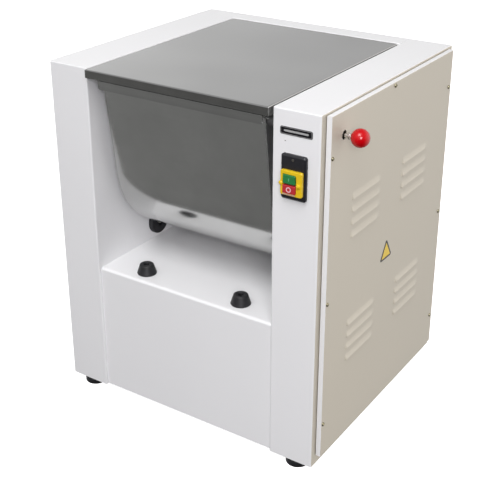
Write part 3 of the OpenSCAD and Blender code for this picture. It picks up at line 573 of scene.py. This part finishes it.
def cover_skin(with_louvres):
    """The cover's face and its four folded edges. Each louvre is a pressed hood with a slit along
    its lower edge."""
    low, high = box_mm("right_side_cover")
    x_back = low[0] + 2
    r = FOLD
    y0, y1, z0, z1 = low[1], high[1], low[2], high[2]
    ys = {y0 + r, y1 - r}
    zs = {z0 + r, z1 - r}
    if with_louvres:
        for c in LOUVRE_Y:
            ys |= {c + u for u in LOUVRE_U}
        for b in LOUVRE_Z:
            zs |= {b + v for v in LOUVRE_V}
    ys |= {-290, -250, -210, 200, 240, 280}
    zs |= {100, 150, 200, 400, 450, 500, 700, 750, 800}
    ys, zs = sorted(ys), sorted(zs)
    verts, faces, index = [], [], {}

    def vert(i, j, hood):
        y, z = ys[i], zs[j]
        h = 0.0
        slit = False
        if with_louvres:
            for c in LOUVRE_Y:
                for b in LOUVRE_Z:
                    u, v = y - c, z - b
                    if abs(u) <= LOUVRE_HALF and -0.01 <= v <= LOUVRE_RISE:
                        if abs(v) < 0.01:
                            slit = True
                            if hood:
                                h = louvre_height(u, 0)
                        else:
                            h = louvre_height(u, v)
        nearest = min(LOUVRE_Y, key=lambda c: abs(y - c))
        split = slit and louvre_height(y - nearest, 0) > 0.02
        key = (i, j, hood if split else False)
        if key not in index:
            index[key] = len(verts)
            verts.append((COVER_X + (h if key[2] or not slit else 0.0), y, z))
        return index[key]

    for i in range(len(ys) - 1):
        for j in range(len(zs) - 1):
            faces.append((vert(i, j, True), vert(i + 1, j, True),
                          vert(i + 1, j + 1, False), vert(i, j + 1, False)))
    # The folded edges run round the face's border
    ni, nj = len(ys), len(zs)
    ring = [(i, 0) for i in range(ni - 1)] + [(ni - 1, j) for j in range(nj - 1)]
    ring += [(i, nj - 1) for i in range(ni - 1, 0, -1)] + [(0, j) for j in range(nj - 1, 0, -1)]
    previous = [index[(i, j, False)] for i, j in ring]
    border = [(ys[i], zs[j]) for i, j in ring]
    steps = 4
    turns = [math.pi / 2 * k / steps for k in range(1, steps + 1)]
    profile = [(r * math.sin(a), COVER_X - r * (1 - math.cos(a))) for a in turns]
    profile.append((r, x_back))
    for out, x in profile:
        wide = inset(border, -out)
        base = len(verts)
        verts += [(x, y, z) for y, z in wide]
        n = len(ring)
        faces += [(previous[k], base + k, base + (k + 1) % n, previous[(k + 1) % n])
                  for k in range(n)]
        previous = [base + k for k in range(n)]
    return np.array(verts), faces


right_cover = piece("right_cover_skin", cover_skin(True), "right_side_cover", thick=1.5,
                    cuts=[rod("x", (LOCK_Y, LOCK_Z), 370, 385, 10)], inks=["white_paint"])
left_cover = piece("left_cover_skin", mirrored(cover_skin(False)), "left_side_cover",
                   thick=1.5, inks=["white_paint"])
low, high = box_mm("right_side_cover")
# The covers' folded edges keep the white paint and their faces take the cover paint, so the faces
# carry painted shade of the same white sheet.
for cover in (right_cover, left_cover):
    for p in cover.data.polygons:
        y, z = (np.array(p.center) - ORIGIN)[1:] * 1000
        edge = min(y - low[1], high[1] - y, z - low[2], high[2] - z)
        if edge < FOLD and abs(p.normal.x) < 0.6:
            p.material_index = 1


# ---------------------------------------------------------------- screws

def pan_head(r, h, shank_r, shank):
    """A pan-head screw along +Z, with its seat at 0 and a cross recess in its head."""
    head = [(0, -shank), (shank_r * 0.7, -shank), (shank_r, -shank + 1), (shank_r, 0), (r, 0)]
    head.append((r, h * 0.30))
    for a in (18, 36, 54, 72, 90):
        head.append((r - (r * 0.42) * (1 - math.cos(math.radians(a))),
                     h * 0.30 + h * 0.70 * math.sin(math.radians(a))))
    head.append((0, h))
    # mesh_from adds ORIGIN, so it is taken off first
    off = -ORIGIN * 1000
    mesh = mesh_from("head", moved(turned("z", (0, 0), head, 32), off))
    obj = bpy.data.objects.new("head", mesh)
    bpy.context.scene.collection.objects.link(obj)
    half, reach, depth = r * 0.13, r * 0.56, h * 0.5
    carve(obj, cuts=[
        moved(block([-half, -reach, h - depth], [half, reach, h + 1]), off),
        moved(block([-reach, -half * 0.98, h - depth * 0.96], [reach, half * 0.98, h + 1.2]), off),
    ])
    part = (np.array([v.co for v in obj.data.vertices]) * 1000,
            [tuple(p.vertices) for p in obj.data.polygons])
    bpy.data.objects.remove(obj)
    return part


DRAW = random.Random(7)
X_OUT = Matrix.Rotation(math.radians(90), 4, "Y")
Y_BACK = Matrix.Rotation(math.radians(-90), 4, "X")


def screws(places, head, turn):
    parts = []
    for p in places:
        spin = Matrix.Rotation(DRAW.uniform(0, math.pi), 4, "Z")
        parts.append(moved(head, p, turn @ spin))
    return joined(*parts)


M5 = pan_head(4.75, 3.0, 2.4, 6.0)
COVER_SCREWS = [(COVER_X, y, z) for y in (-299, 288) for z in (132, 441, 775)]
COVER_SCREWS.append((COVER_X, -20, 857))
piece("side_cover_screw_set",
      joined(screws(COVER_SCREWS, M5, X_OUT), mirrored(screws(COVER_SCREWS, M5, X_OUT))),
      "side_cover_screws", angle=35, finish="yellow_zinc")
piece("rear_screw_set",
      screws([(x, 330, z) for x in (-260, 260) for z in (60, 330, 600, 840)], M5, Y_BACK),
      "rear_panel_screws", angle=35, finish="yellow_zinc")

# ---------------------------------------------------------------- feet, bumpers and stops

FOOT = [(10, 0.4), (10.6, 0), (26, 0), (27.4, 0.6), (28, 2), (28, 12.5), (27.6, 14.5),
        (26.2, 17), (25.4, 18.6), (24.2, 20), (5.2, 20), (5.2, 9), (10, 9)]
piece("rubber_feet",
      joined(*[turned("z", (x, y), FOOT, 56, closed=True) for x in (-311, 311)
               for y in (-294, 299)]), "feet")

BUMPER = [(3.2, 358), (22.4, 358), (23.6, 358.5), (24, 359.8), (23.75, 361.2), (17.6, 380.2),
          (17.1, 381.5), (16.1, 382.5), (14.8, 383), (9.4, 383), (8.1, 382.6), (7.3, 381.7),
          (7, 380.4), (7, 365), (3.2, 365)]
piece("rubber_bumpers",
      joined(*[turned("z", (x, -274), BUMPER, 64, closed=True) for x in (-138, 138)]),
      "bumpers")

STOP = [(4.2, 250), (34, 250), (34, 241.4), (33.5, 239.6), (32.3, 238.4), (30.6, 238),
        (14, 238), (12.6, 238.4), (12, 239.6), (12, 243), (4.2, 243)]
piece("rubber_stops", both(turned("x", (-90, 403), STOP, 64, closed=True)), "tilt_stops")


# ---------------------------------------------------------------- signs

def inked(name, kind, loop, t0, t1, node, ink, border, gap=0.0):
    """A thin plate with a band of another colour, from gap to gap + border inside its edge.
    A plate with a gap has a face sunk a little inside the band."""
    levels = [(0, t0), (0, t1 - 0.25), (0.25, t1)]
    if gap:
        levels.append((0.25 + gap, t1))
    levels.append((0.25 + gap + border, t1))
    if gap:
        levels.append((0.45 + gap + border, t1 - 0.2))
    part = loft([placed(kind, inset(loop, d) if d else loop, t) for d, t in levels])
    return piece(name, part, node, inks=[ink], fix_normals=False), len(loop)


low, high = box_mm("nameplate")
plate, n = inked("maker_plate", "y",
                        round_rect(low[0], low[2], high[0], high[2], 4, 6), -high[1], -low[1],
                        "nameplate", "print_white", 0.7, gap=1.0)
for p in plate.data.polygons[3 * n:4 * n]:
    p.material_index = 1
mid_x, mid_z = (low[0] + high[0]) / 2, (low[2] + high[2]) / 2
piece("plate_bar", prism("y", round_rect(mid_x - 29, mid_z - 2, mid_x + 29, mid_z + 2, 1.9),
                         -low[1] - 0.3, -low[1], r1=0.15), [], slot="grey_plastic",
      body="cabinet", finish="print_white")

low, high = box_mm("warning_triangle")
corners = [(low[1], low[2]), (high[1], low[2]), ((low[1] + high[1]) / 2, high[2])]


def round_triangle(corners, r, steps=5):
    c = np.array(inset(corners, r))
    out = []
    for k in range(3):
        a, b = c[k] - c[k - 1], c[(k + 1) % 3] - c[k]
        start = math.degrees(math.atan2(-a[0], a[1])) + 180
        turn = math.degrees(math.atan2(a[0] * b[1] - a[1] * b[0], a @ b))
        out += arc(c[k][0], c[k][1], r, start + 180, start + 180 + turn, steps)
    return out


sign, n = inked("warning_sign", "x", round_triangle(corners, 4.5), low[0], high[0],
                       "warning_triangle", "print_black", 4.8)
for p in sign.data.polygons[:3 * n]:
    p.material_index = 1

# ---------------------------------------------------------------- switch

low, high = box_mm("switch_box")
SW_X = (low[0] + high[0]) / 2
PANEL_FRONT, BOX_FRONT, FRAME_FRONT = 323, 332, 339
# The buttons' wells are cut right through the box, from this far behind the cabinet's middle
WELL_BACK = -316
start_low, start_high = box_mm("start_button")
stop_low, stop_high = box_mm("stop_button")
frame_low, frame_high = box_mm("switch_frame")


def switch_case():
    loop = round_rect(low[0], low[2], high[0], high[2], 6, 5)
    levels = [(0, PANEL_FRONT), (0, 327.6), (0.25, 328.4), (0.9, 329.1), (3.0, 331.3),
              (3.5, 331.8), (4.2, BOX_FRONT)]
    return loft([placed("y", inset(loop, d) if d else loop, t) for d, t in levels])


def wells(front):
    return [prism("y", round_rect(a[0] - 0.5, a[2] - 0.5, b[0] + 0.5, b[2] + 0.5, 1.5),
                  WELL_BACK, front) for a, b in ((start_low, start_high), (stop_low, stop_high))]


mid_z = (low[2] + high[2]) / 2
piece("switch_case", switch_case(), "switch_box",
      adds=[block([SW_X - 25, -324, mid_z - 38], [SW_X + 25, -285, mid_z + 38])],
      cuts=wells(350), angle=28)


def yellow_frame():
    x0, x1 = frame_low[0] + 3, frame_high[0] - 3
    z0, z1 = frame_low[2], frame_high[2]
    body = prism("y", round_rect(x0, z0, x1, z1, 3.5, 5), BOX_FRONT, FRAME_FRONT, r1=1.6, steps=3)
    ear_z = stop_high[2] + 1.5
    left_ear = turned("y", (x0 + 1.2, ear_z), [(0, 332.5), (5.0, 332.5), (5.0, 338), (4.4, 339.8),
                                               (2.8, 341), (0, 341.6)], 32)
    right_ear = turned("y", (WINDOW[2] + 4.9, ear_z), [(0, 337), (5.2, 337), (5.2, 339.6),
                                                       (4.5, 341), (2.8, 342), (0, 342.4)], 32)
    return body, [left_ear, right_ear]


WINDOW = (stop_low[0] - 0.6, stop_low[2] - 0.6, stop_high[0] + 0.6, start_high[2] + 0.6)
body, ears = yellow_frame()
piece("switch_bezel", body, "switch_frame", adds=ears,
      cuts=[prism("y", round_rect(*WINDOW, [1.5, 1.5, 4, 2], 5), 330, 339.4)], angle=30)
piece("switch_strip",
      prism("y", round_rect(WINDOW[0], frame_low[2] + 1.2, WINDOW[2] - 3, WINDOW[1] - 0.6, 1.2),
            338.6, 339.3, r1=0.3), [], slot="grey_plastic", body="cabinet", finish="print_grey")


def push_button(name, node, ink, mark):
    a, b = box_mm(node)
    front = -a[1]
    loop = round_rect(a[0], a[2], b[0], b[2], 2.2, 5)
    levels = [(0, -b[1]), (0, front - 2.2), (0.3, front - 1.4), (0.9, front - 0.7),
              (1.9, front - 0.35)]
    face = loft([placed("y", inset(loop, d) if d else loop, t) for d, t in levels])
    part = joined(face, mark((a + b) / 2, front))
    obj = piece(name, part, node, inks=[ink], angle=50, fix_normals=False)
    for p in obj.data.polygons[len(face[1]):]:
        p.material_index = 1


def on_mark(c, front):
    return prism("y", round_rect(c[0] - 0.8, c[2] - 3.2, c[0] + 0.8, c[2] + 3.2, 0.5, 3),
                 front - 0.6, front, r1=0.2)


def off_mark(c, front):
    profile = [(3.6, front - 0.6), (6.0, front - 0.6), (6.0, front - 0.2), (5.8, front),
               (3.8, front), (3.6, front - 0.2)]
    return turned("y", (c[0], c[2]), profile, 40, closed=True)


push_button("start_key", "start_button", "print_green", on_mark)
push_button("stop_key", "stop_button", "print_pink", off_mark)

# ---------------------------------------------------------------- tilt lock

BALL_X, BALL_R = 413, 20
# From the left: the pin, its neck through the cover, its grooved collar and its stud
pin = [(0, 247.5), (4.6, 247.5), (6, 249.5), (6, 340), (4.9, 342), (4.9, 387), (7.3, 387),
       (8, 387.7), (8, 390), (7.3, 390.8), (7.3, 391.4), (8, 392.2), (8, 394.4), (7.5, 395),
       (6, 395), (6, 408.5), (5.4, 409), (0, 409)]
piece("lock_rod", turned("x", (LOCK_Y, LOCK_Z), pin, 48), "lock_pin", angle=30)
start = math.degrees(math.acos(8.05 / BALL_R))
ball = [(0, 410.1), (6.05, 410.1), (6.05, 396.1), (8.05, 396.1)]
ball += [(BALL_R * math.cos(math.radians(a)), BALL_X + BALL_R * math.sin(math.radians(a)))
         for a in np.linspace(-start, 89.9, 36)] + [(0, BALL_X + BALL_R)]
piece("ball_grip", turned("x", (LOCK_Y, LOCK_Z), ball, 64), "knob_ball", angle=50)

# ---------------------------------------------------------------- trough

LEAN = math.radians(7.44)
TROUGH_R = 220
WALL_TOP = 841


def wall_reach(r, z):
    return (r + (z - AXIS_Z) * math.sin(LEAN)) / math.cos(LEAN)


def trough_path(r, z, steps=56):
    reach = wall_reach(r, z)
    lean = math.degrees(LEAN)
    path = [(AXIS_Y - reach, z)]
    path += arc(AXIS_Y, AXIS_Z, r, 180 + lean, 360 - lean, steps)
    return path + [(AXIS_Y + reach, z)]


low, high = box_mm("trough_shell")
piece("trough_skin", sheet("x", trough_path(TROUGH_R, WALL_TOP), low[0], high[0], 2),
      "trough_shell", thick=SHEET, finish="trough_steel")


def rim(mirror):
    """A folded rim. Its lower corners are rounded, and it stands a little off the wall."""
    low, high = box_mm("trough_rim")
    front, top, r, corner = low[1], high[2], 1.0, 7.0
    stations = [low[0]] + [low[0] + corner * (1 - math.cos(math.radians(a)))
                           for a in (15, 30, 45, 60, 75, 90)]
    stations += list(np.linspace(low[0] + 40, high[0] - 40, 9))
    stations += [low[0] + high[0] - x for x in stations[6::-1]]
    rows = []
    for x in stations:
        d = min(x - low[0], high[0] - x)
        lift = corner - math.sqrt(max(0.0, corner ** 2 - max(0.0, corner - d) ** 2))
        bottom = top - 20 + lift
        path = [(front + 20, top)] + arc(front + r, top - r, r, 90, 180, 4)
        path += [(front, top - 8), (front + 0.25, top - 10.5), (front + 0.25, bottom + 1.6),
                 (front, bottom)]
        rows.append([(x, y, z) for y, z in path])
    n = len(rows[0])
    faces = [(i * n + j, i * n + j + 1, (i + 1) * n + j + 1, (i + 1) * n + j)
             for i in range(len(rows) - 1) for j in range(n - 1)]
    verts = np.array([p for row in rows for p in row])
    if mirror:
        verts[:, 1] = 2 * AXIS_Y - verts[:, 1]
        faces = [f[::-1] for f in faces]
    return verts, faces


piece("trough_rims", joined(rim(False), rim(True)), "trough_rim", thick=SHEET,
      finish="trough_steel", fix_normals=False)


# ---------------------------------------------------------------- lid

def lid_skin():
    low, high = box_mm("lid_panel")
    r = 2.8
    x0, x1, y0, y1, top = low[0], high[0], low[1], high[1], high[2]
    across = list(np.linspace(x0 + r, x1 - r, 15))
    along = list(np.linspace(y0 + r, y1, 19))
    verts = [(x, y, top) for y in along for x in across]
    n = len(across)
    faces = [(j * n + i, j * n + i + 1, (j + 1) * n + i + 1, (j + 1) * n + i)
             for j in range(len(along) - 1) for i in range(n - 1)]
    # The path runs from the rear left corner round the front to the rear right corner
    border = [(0, j) for j in range(len(along) - 1, 0, -1)] + [(i, 0) for i in range(n)]
    border += [(n - 1, j) for j in range(1, len(along))]
    previous = [j * n + i for i, j in border]
    steps = 4
    for k in range(1, steps + 2):
        a = math.pi / 2 * min(k, steps) / steps
        out, z = r * math.sin(a), top - r * (1 - math.cos(a))
        if k > steps:
            z = low[2]
        base = len(verts)
        for i, j in border:
            x, y = across[i], along[j]
            if i == 0:
                x -= out
            if i == n - 1:
                x += out
            if j == 0:
                y -= out
            verts.append((x, y, z))
        faces += [(previous[m], base + m, base + m + 1, previous[m + 1])
                  for m in range(len(border) - 1)]
        previous = [base + m for m in range(len(border))]
    return np.array(verts, float), faces


hinge_low, hinge_high = box_mm("hinge_pins")
hinge = ((hinge_low[1] + hinge_high[1]) / 2, (hinge_low[2] + hinge_high[2]) / 2)
lid = piece("lid_skin", lid_skin(), "lid_panel", thick=SHEET, finish="lid_steel",
            cuts=[rod("x", hinge, -260, 260, 4.05, 24)], inks=["painted_shade_steel"])
# The lid's upright flange faces take the darker steel, which is painted shade.
for p in lid.data.polygons:
    if abs(p.normal.z) < 0.15:
        p.material_index = 1

# ---------------------------------------------------------------- carried-over nodes

# Each node's edge radius. The wiring loom isn't listed, as it is only round tubes.
EDGES = {
    "cross_rails": 1.5, "side_rails": 1.5, "motor_rails": 1.5, "foot_bolts": 0.5,
    "bumper_screws": 0.4, "tilt_stop_screws": 0.6, "switch_screw": 0.5, "lock_guide": 0.6,
    "left_bearing": 1.5, "right_bearing": 1.5, "bearing_bolts": 0.5, "motor_housing": 1.0,
    "motor_fan_cowl": 1.0, "motor_terminal_box": 1.5, "gearbox_housing": 2.0,
    "motor_bolts": 0.5, "drive_shaft": 1.0, "drive_sprocket": 0.4, "contactor_box": 1.5,
    "cable_bush": 0.8, "left_trough_end": 0.6, "right_trough_end": 0.6, "trough_hubs": 1.0,
    "hub_bolts": 0.5, "shaft_bushes": 0.5, "shaft_seals": 0.6, "lock_keeper": 0.8,
    "stop_pins": 0.8, "hinge_brackets": 0.6, "lid_gaskets": 0.8, "hinge_pins": 0.5,
    "main_shaft": 1.0, "agitator_arms": 1.2, "mixing_bars": 1.5, "driven_sprocket": 0.4,
    "drive_chain": 0.4,
}
FINISHES = {"switch_screw": "dull_zinc", "left_trough_end": "trough_steel",
            "right_trough_end": "trough_steel"}
for node, obj in NODES.items():
    obj.data.materials.clear()
    obj.data.materials.append(MATERIALS[FINISHES.get(node, SLOT_OF[node])])
    if node in EDGES:
        soften(node, EDGES[node])


# ---------------------------------------------------------------- floor, light and camera

def stage_material(name, colour, glow):
    m = bpy.data.materials.new(name)
    m.use_nodes = True
    tree, add = node_kit(m)
    shader = add("ShaderNodeBsdfPrincipled", {
        "Base Color": rgba(colour), "Roughness": 0.9, "Specular IOR Level": 0.0,
        "Emission Color": rgba((1, 1, 1)), "Emission Strength": glow})
    add("ShaderNodeOutputMaterial", {"Surface": shader.outputs[0]})
    return m


def stage_piece(name, mesh, material):
    obj = bpy.data.objects.new(name, mesh)
    bpy.context.scene.collection.objects.link(obj)
    obj.data.materials.append(material)
    obj.visible_diffuse = False
    obj.visible_glossy = False
    obj.visible_transmission = False
    obj.visible_shadow = False
    obj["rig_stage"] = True


floor_mesh = bpy.data.meshes.new("floor")
floor_mesh.from_pydata([(-30, -30, 0), (30, -30, 0), (30, 30, 0), (-30, 30, 0)], [],
                       [(0, 1, 2, 3)])
stage_piece("floor", floor_mesh, stage_material("pale_floor", (0.90, 0.90, 0.90), 0.9))
dome_mesh = bpy.data.meshes.new("backdrop")
bm = bmesh.new()
bmesh.ops.create_uvsphere(bm, u_segments=48, v_segments=24, radius=29)
bm.to_mesh(dome_mesh)
bm.free()
stage_piece("backdrop", dome_mesh, stage_material("pale_backdrop", (0.0, 0.0, 0.0), 1.0))


def soft_world(lobes, below, above):
    """Light from all round. Each lobe is (direction, power, colour, strength)."""
    world = bpy.data.worlds.new("studio")
    bpy.context.scene.world = world
    world.use_nodes = True
    tree, add = node_kit(world)
    direction = add("ShaderNodeTexCoord").outputs["Generated"]
    height = add("ShaderNodeSeparateXYZ", {0: direction}).outputs[2]
    up = add("ShaderNodeMapRange", {"Value": height, "From Min": -0.10, "From Max": 0.25},
             interpolation_type="SMOOTHSTEP").outputs[0]
    total = add("ShaderNodeMix", {"Factor": up}, data_type="RGBA")
    total.inputs[6].default_value = rgba(below)
    total.inputs[7].default_value = rgba(above)
    total = total.outputs[2]
    for towards, power, colour, strength in lobes:
        axis = tuple(Vector(towards).normalized())
        dot = add("ShaderNodeVectorMath", {0: direction, 1: axis}, operation="DOT_PRODUCT")
        clear = add("ShaderNodeMath", {0: dot.outputs["Value"], 1: 0.0}, operation="MAXIMUM")
        lobe = add("ShaderNodeMath", {0: clear.outputs[0], 1: power}, operation="POWER")
        scaled = add("ShaderNodeVectorMath",
                     {0: tuple(c * strength for c in colour), "Scale": lobe.outputs[0]},
                     operation="SCALE")
        total = add("ShaderNodeVectorMath", {0: total, 1: scaled.outputs[0]},
                    operation="ADD").outputs[0]
    shader = add("ShaderNodeBackground", {"Color": total, "Strength": 1.0})
    add("ShaderNodeOutputWorld", {"Surface": shader.outputs[0]})


soft_world(
    [
        ((0.35, 1.0, -0.05), 3.0, (1.0, 1.0, 1.0), 0.38),
        ((-1.0, 0.3, 0.05), 3.0, (1.0, 1.0, 1.0), 0.90),
        ((0.8, 0.8, 0.0), 3.0, (1.0, 0.98, 0.95), 1.14),
        ((-0.5, -0.6, -0.6), 6.0, (1.0, 1.0, 0.98), 0.17),
        ((0.0, -0.8, 0.7), 4.0, (0.99, 0.975, 1.0), 0.60),
        ((0.1, -0.5, 0.85), 12.0, (1.0, 1.0, 0.985), 0.85),
        ((-0.62, 0.73, 0.28), 60.0, (1.0, 1.0, 1.0), 0.10),
    ],
    below=(0.02, 0.02, 0.02), above=(0.17, 0.17, 0.17))


def softbox(name, place, target, size, power, colour=(1, 1, 1)):
    data = bpy.data.lights.new(name, "AREA")
    data.shape, data.size, data.energy, data.color = "SQUARE", size, power, colour
    obj = bpy.data.objects.new(name, data)
    bpy.context.scene.collection.objects.link(obj)
    obj.location = place
    obj.rotation_euler = (Vector(target) - Vector(place)).to_track_quat("-Z", "Y").to_euler()


softbox("front_right", (2.6, -3.6, 2.4), (0.1, 0.0, 0.5), 1.4, 89, (0.99, 0.97, 1.0))
softbox("high_front", (0.6, -2.6, 4.6), (0.1, -0.2, 0.4), 2.2, 88)

# The camera's place is in metres from ORIGIN, and its angles are in degrees
CAMERA_AT = (1.2597, -1.9488, 1.4971)
CAMERA_DOWN, CAMERA_ROLL, CAMERA_ROUND = 23.541, -0.084, 33.254
camera_data = bpy.data.cameras.new("camera")
camera_data.lens = 71.7
camera_data.shift_y = -0.1
camera_data.sensor_width = 36
camera = bpy.data.objects.new("camera", camera_data)
bpy.context.scene.collection.objects.link(camera)
camera.location = Vector(ORIGIN) + Vector(CAMERA_AT)
camera.rotation_euler = (math.radians(90 - CAMERA_DOWN), math.radians(CAMERA_ROLL),
                         math.radians(CAMERA_ROUND))
bpy.context.scene.camera = camera
bpy.context.scene.view_settings.view_transform = "Standard"

# ---------------------------------------------------------------- size

low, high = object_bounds()
